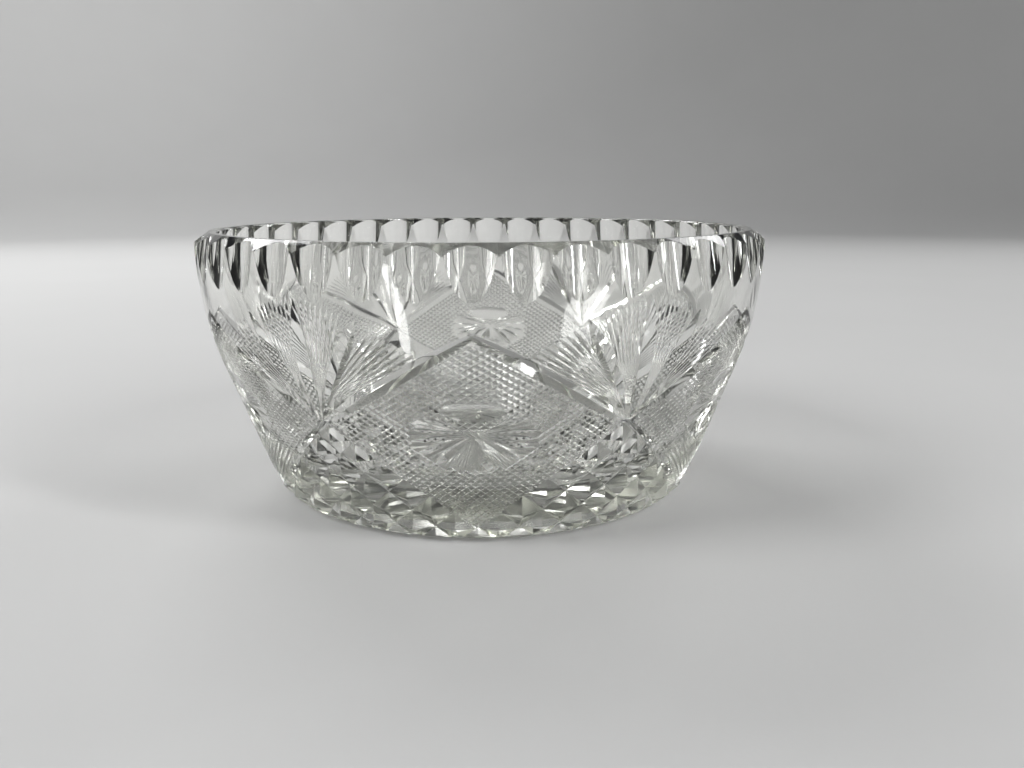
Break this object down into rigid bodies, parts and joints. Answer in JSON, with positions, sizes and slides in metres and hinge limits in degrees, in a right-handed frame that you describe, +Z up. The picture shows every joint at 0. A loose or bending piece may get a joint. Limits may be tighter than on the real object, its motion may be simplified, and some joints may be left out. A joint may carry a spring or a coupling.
{
  "type": "cut-glass candy dish",
  "caption": "Open round bowl of thick clear glass with a fluted rim, large framed diamonds with star medallions, leaf fans and bands of pointed pyramids cut round its wall.",
  "frame": {"origin": "centre of the foot, in the plane that the dish stands on", "axes": "+Z up along the bowl's axis; the middle of a diamond faces -Y, and the side corner between two diamonds is 30 degrees from it"},
  "size_m": [0.165, 0.1644, 0.0765],
  "materials": {
    "glass": "polished"
  },
  "bodies": {
    "root": {"bowl": "glass"}
  },
  "joints": []
}
